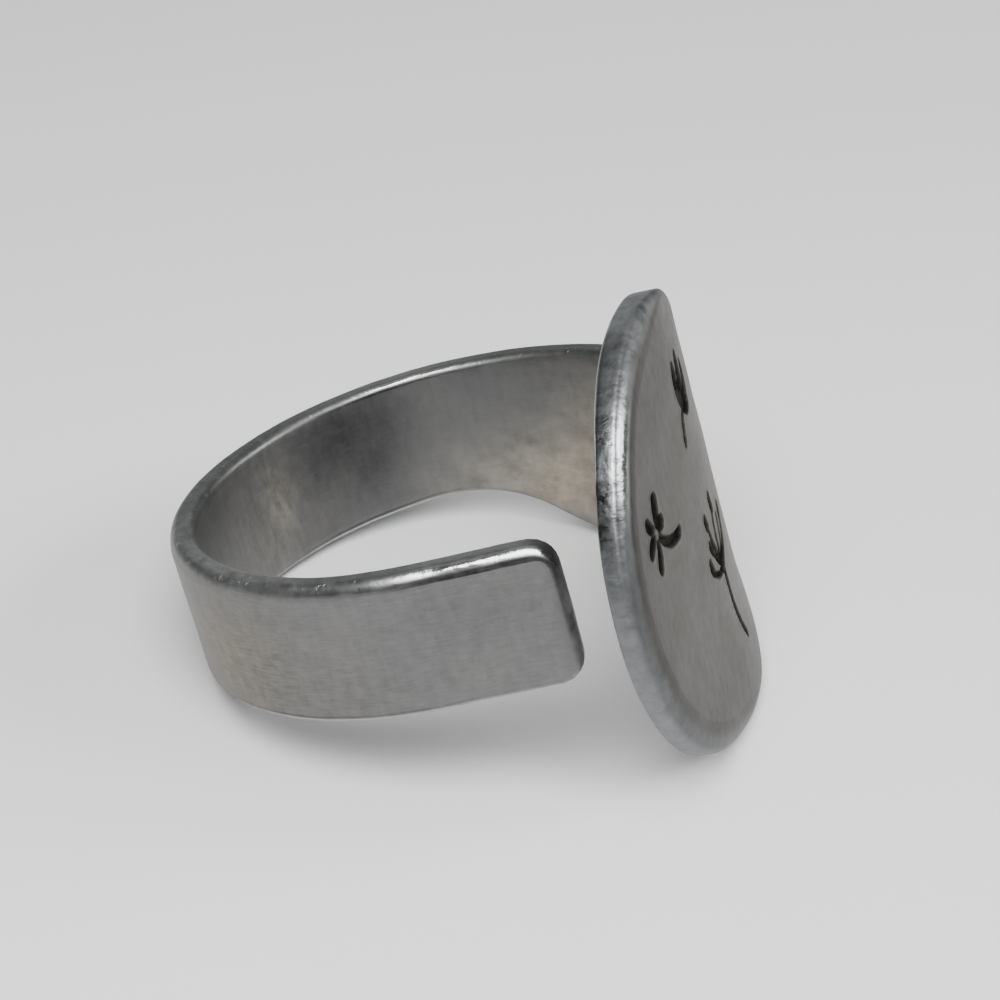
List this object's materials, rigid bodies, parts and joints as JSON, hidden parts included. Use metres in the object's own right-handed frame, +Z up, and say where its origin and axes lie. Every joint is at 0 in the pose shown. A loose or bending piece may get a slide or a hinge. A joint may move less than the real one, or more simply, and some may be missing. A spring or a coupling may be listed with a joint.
{
  "type": "medallion ring",
  "caption": "Adjustable finger ring bent from one strip of satin aluminium: a round stamped disc on a neck, and a plain band that ends free, just short of the disc.",
  "frame": {"origin": "on the floor under the middle of the ring's bounding box, the ring lying on its side as it rests by itself", "axes": "+Z up; +X towards the side that the disc faces; +Y towards the side where the neck joins the disc, so the free end is on the -Y side. The finger hole's axis leans from +Z towards -X"},
  "size_m": [0.0214, 0.0198, 0.0156],
  "materials": {
    "satin_aluminium": "satin, finely brushed round the band, edges slightly rounded, stamped marks dark"
  },
  "bodies": {
    "root": {"ring": "satin_aluminium"}
  },
  "joints": []
}
